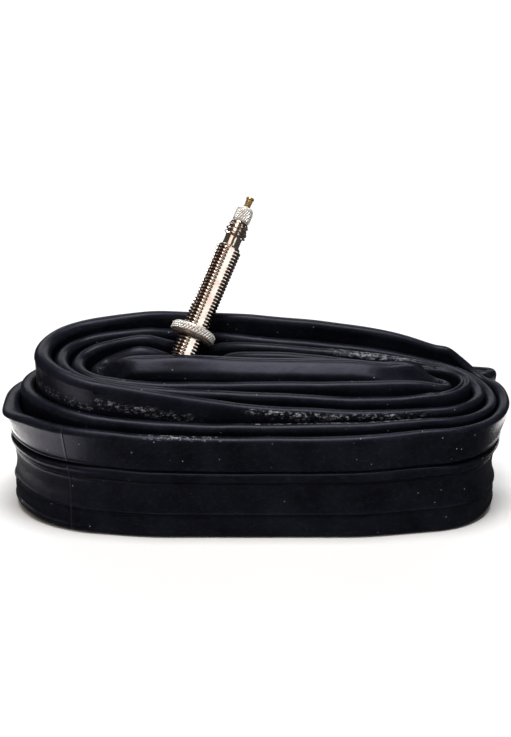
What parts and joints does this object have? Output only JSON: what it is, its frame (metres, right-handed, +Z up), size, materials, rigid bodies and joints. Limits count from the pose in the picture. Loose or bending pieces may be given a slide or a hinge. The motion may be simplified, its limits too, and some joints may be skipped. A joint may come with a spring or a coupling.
{
  "type": "bicycle inner tube",
  "caption": "Bicycle inner tube pressed flat and wound on edge into an oval bundle, with a long threaded narrow valve, rim nut and lock nut standing up from it.",
  "frame": {"origin": "middle of the whole object's footprint, on the surface that the bundle stands on", "axes": "+Z up, +X along the bundle's long sides, +Y from its front side to its back, which is the way the valve leans"},
  "size_m": [0.1152, 0.0452, 0.0658],
  "materials": {
    "tube_rubber": "satin black butyl rubber with traces of talc",
    "pad_rubber": "matt moulded rubber",
    "seal_rubber": "matt",
    "nickel_plate": "bright nickel plate on brass",
    "brass": "bright turned brass"
  },
  "bodies": {
    "tube": {"inner_tube": "tube_rubber", "valve_pad": "pad_rubber", "valve_stem": "nickel_plate", "core_body": "nickel_plate", "core_gasket": "seal_rubber"},
    "nut": {"rim_nut": "nickel_plate"},
    "pin": {"valve_pin": "brass", "pin_seal": "seal_rubber", "seal_cup": "brass"},
    "lock": {"lock_nut": "nickel_plate"}
  },
  "joints": [
    {"name": "rim_nut_travel", "type": "slide", "parent": "tube", "child": "nut", "axis": [0.381, 0.542, 0.749], "range_m": [0, 0.0205]},
    {"name": "valve_pin_press", "type": "slide", "parent": "tube", "child": "pin", "axis": [0.381, 0.542, 0.749], "range_m": [-0.002, 0]},
    {"name": "lock_nut_travel", "type": "slide", "parent": "tube", "child": "lock", "axis": [0.381, 0.542, 0.749], "range_m": [0, 0.0018]}
  ]
}
